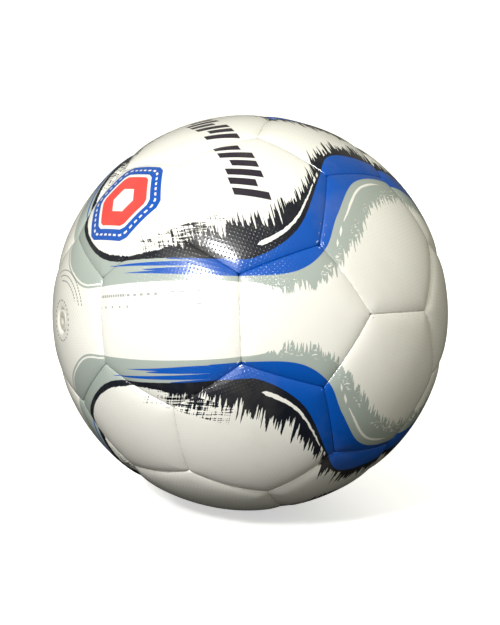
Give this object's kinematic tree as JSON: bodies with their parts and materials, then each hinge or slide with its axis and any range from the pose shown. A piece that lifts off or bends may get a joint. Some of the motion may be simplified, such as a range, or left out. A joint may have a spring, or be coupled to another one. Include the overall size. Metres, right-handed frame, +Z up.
{
  "type": "futsal ball",
  "caption": "Hand-stitched small-sided football with a panelled glossy cover over a rubber bladder, closed by a pull-out valve core with a needle bore.",
  "frame": {"origin": "the ball's centre, which is the centre of its bounding box", "axes": "-X along the valve's axis, out of the ball; +Z up as the ball lies in its picture; Y to complete a right-handed frame"},
  "size_m": [0.2004, 0.2006, 0.2006],
  "materials": {
    "panel_skin": "glossy embossed synthetic leather, printed",
    "pad_foam": "matt closed-cell foam",
    "lining_cloth": "woven cloth plies",
    "waxed_thread": "waxed thread",
    "bladder_rubber": "satin, talc dusted",
    "patch_rubber": "satin",
    "damping_foam": "soft open-cell foam",
    "valve_rubber": "satin",
    "core_rubber": "satin, oiled",
    "ring_cloth": "woven"
  },
  "bodies": {
    "ball": {"balance_patch": "patch_rubber", "bladder": "bladder_rubber", "damping_strips": "damping_foam", "hexagon_foam_pads": "pad_foam", "hexagon_linings": "lining_cloth", "hexagon_panel_01": "panel_skin", "hexagon_panel_02": "panel_skin", "hexagon_panel_03": "panel_skin", "hexagon_panel_04": "panel_skin", "hexagon_panel_05": "panel_skin", "hexagon_panel_06": "panel_skin", "hexagon_panel_07": "panel_skin", "hexagon_panel_08": "panel_skin", "hexagon_panel_09": "panel_skin", "hexagon_panel_10": "panel_skin", "hexagon_panel_11": "panel_skin", "hexagon_panel_12": "panel_skin", "hexagon_panel_13": "panel_skin", "hexagon_panel_14": "panel_skin", "hexagon_panel_15": "panel_skin", "hexagon_panel_16": "panel_skin", "hexagon_panel_17": "panel_skin", "hexagon_panel_18": "panel_skin", "hexagon_panel_19": "panel_skin", "pentagon_foam_pads": "pad_foam", "pentagon_linings": "lining_cloth", "pentagon_panel_01": "panel_skin", "pentagon_panel_02": "panel_skin", "pentagon_panel_03": "panel_skin", "pentagon_panel_04": "panel_skin", "pentagon_panel_05": "panel_skin", "pentagon_panel_06": "panel_skin", "pentagon_panel_07": "panel_skin", "pentagon_panel_08": "panel_skin", "pentagon_panel_09": "panel_skin", "pentagon_panel_10": "panel_skin", "pentagon_panel_11": "panel_skin", "pentagon_panel_12": "panel_skin", "seam_stitching": "waxed_thread", "valve_body": "valve_rubber", "valve_foam_pad": "pad_foam", "valve_hole_ring": "ring_cloth", "valve_lining": "lining_cloth", "valve_panel": "panel_skin", "valve_patch": "patch_rubber"},
    "valve_core": {"valve_core": "core_rubber"}
  },
  "joints": [
    {"name": "valve_core_slide", "type": "slide", "parent": "ball", "child": "valve_core", "axis": [-1, 0, 0], "range_m": [0, 0.022]}
  ]
}
